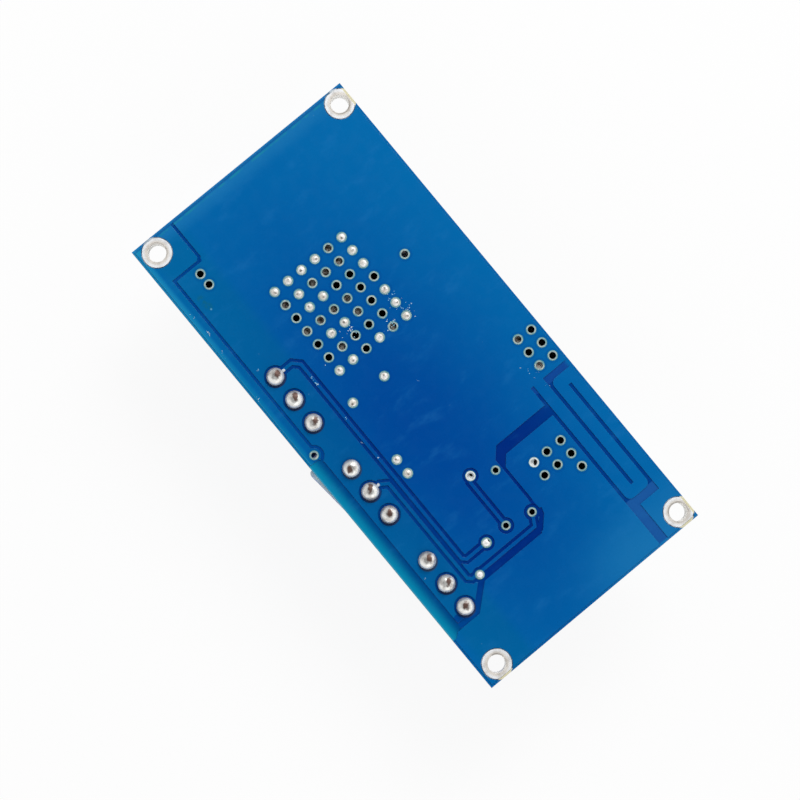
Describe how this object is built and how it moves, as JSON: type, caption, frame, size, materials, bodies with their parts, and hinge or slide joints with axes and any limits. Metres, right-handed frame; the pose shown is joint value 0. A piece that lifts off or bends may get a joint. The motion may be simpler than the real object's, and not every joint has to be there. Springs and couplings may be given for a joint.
{
  "type": "step-down converter module",
  "caption": "Small blue circuit board with soldered trimmer pins, rings of tinned vias and a folded copper shunt on its face, and power parts on its other side.",
  "frame": {"origin": "centre of the rectangle of the four corner holes, on the solder face", "axes": "+X along the board towards the output end, +Y away from the trimmer edge, +Z out of the solder face"},
  "size_m": [0.0481, 0.0233, 0.013],
  "materials": {
    "board": "blue solder mask over copper, semi-gloss",
    "tinned_copper": "tinned, slightly rough",
    "solder": "bright solder",
    "trimmer_housing": "moulded, satin",
    "potting_resin": "cast resin",
    "pin_metal": "tinned wire",
    "screw_brass": "turned brass",
    "moulded_epoxy": "black moulding compound",
    "black_plastic": "moulded",
    "ferrite": "pressed and fired, dark grey",
    "enamelled_wire": "enamelled copper",
    "capacitor_can": "drawn aluminium",
    "diode_glass": "orange glass",
    "chip_resistor": "glazed ceramic",
    "chip_ceramic": "tan ceramic",
    "indicator_base": "white",
    "indicator_contact": "plated",
    "indicator_lens": "clear moulded resin"
  },
  "bodies": {
    "module": {"board": "board", "corner_pads": "tinned_copper", "thermal_vias": "tinned_copper", "signal_vias": "tinned_copper", "via_solder": "solder", "pin_pads": "tinned_copper", "pin_solder": "solder", "component_pads": "tinned_copper", "trimmer_1_housing": "trimmer_housing", "trimmer_1_resin": "potting_resin", "trimmer_1_pins": "pin_metal", "trimmer_2_housing": "trimmer_housing", "trimmer_2_resin": "potting_resin", "trimmer_2_pins": "pin_metal", "trimmer_3_housing": "trimmer_housing", "trimmer_3_resin": "potting_resin", "trimmer_3_pins": "pin_metal", "regulator_body": "moulded_epoxy", "regulator_tab": "tinned_copper", "regulator_leads": "tinned_copper", "inductor_base": "black_plastic", "inductor_terminals": "tinned_copper", "inductor_drum": "ferrite", "inductor_winding": "enamelled_wire", "inductor_shield": "ferrite", "input_capacitor_can": "capacitor_can", "input_capacitor_base": "black_plastic", "input_capacitor_terminals": "tinned_copper", "output_capacitor_can": "capacitor_can", "output_capacitor_base": "black_plastic", "output_capacitor_terminals": "tinned_copper", "diode_body": "moulded_epoxy", "diode_terminals": "tinned_copper", "glass_diode_body": "diode_glass", "glass_diode_caps": "tinned_copper", "amplifier_body": "moulded_epoxy", "amplifier_leads": "tinned_copper", "small_regulator_body": "moulded_epoxy", "small_regulator_leads": "tinned_copper", "resistor_bodies": "chip_resistor", "resistor_ends": "tinned_copper", "ceramic_capacitor_bodies": "chip_ceramic", "ceramic_capacitor_ends": "tinned_copper", "indicator_bases": "indicator_base", "indicator_ends": "indicator_contact", "indicator_lenses": "indicator_lens"},
    "adjuster_1": {"trimmer_1_screw": "screw_brass"},
    "adjuster_2": {"trimmer_2_screw": "screw_brass"},
    "adjuster_3": {"trimmer_3_screw": "screw_brass"}
  },
  "joints": [
    {"name": "adjuster_1_turn", "type": "hinge", "parent": "module", "child": "adjuster_1", "pos_m": [-0.00886, -0.00997, -0.01163], "axis": [0, 0, -1], "continuous": true},
    {"name": "adjuster_2_turn", "type": "hinge", "parent": "module", "child": "adjuster_2", "pos_m": [0.00138, -0.01044, -0.01163], "axis": [0, 0, -1], "continuous": true},
    {"name": "adjuster_3_turn", "type": "hinge", "parent": "module", "child": "adjuster_3", "pos_m": [0.01145, -0.00997, -0.01163], "axis": [0, 0, -1], "continuous": true}
  ]
}
